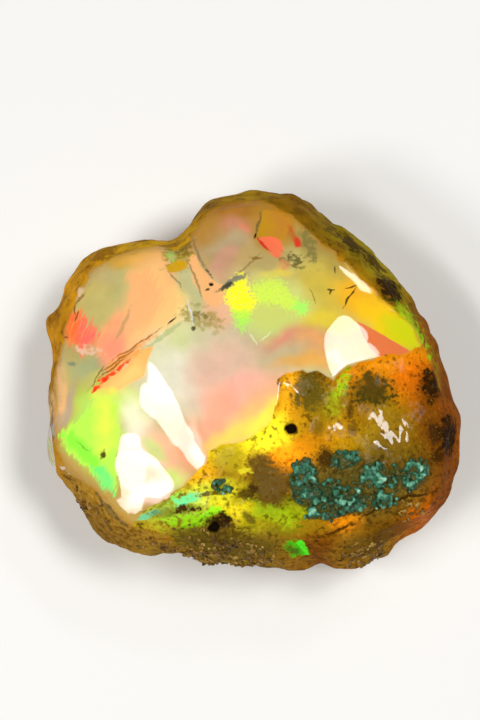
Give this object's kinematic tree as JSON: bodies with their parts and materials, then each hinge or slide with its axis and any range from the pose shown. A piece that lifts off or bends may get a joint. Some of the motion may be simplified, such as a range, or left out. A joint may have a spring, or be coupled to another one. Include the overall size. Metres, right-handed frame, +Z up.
{
  "type": "rough opal",
  "caption": "Rough precious opal, a broken nodule with a bare glassy face on top, honey-brown natural skin around it and a green lumpy crust at one edge; lies on its skin side.",
  "frame": {"origin": "middle of the bounding box, on the plane that the stone rests on", "axes": "+Z up out of the glassy face, +X along the longer side towards the skin and the green crust, +Y towards the notched edge"},
  "size_m": [0.0398, 0.0364, 0.0178],
  "materials": {
    "opal": "wet glassy opal with honey-brown skin and a dull green crust"
  },
  "bodies": {
    "root": {"opal": "opal"}
  },
  "joints": []
}
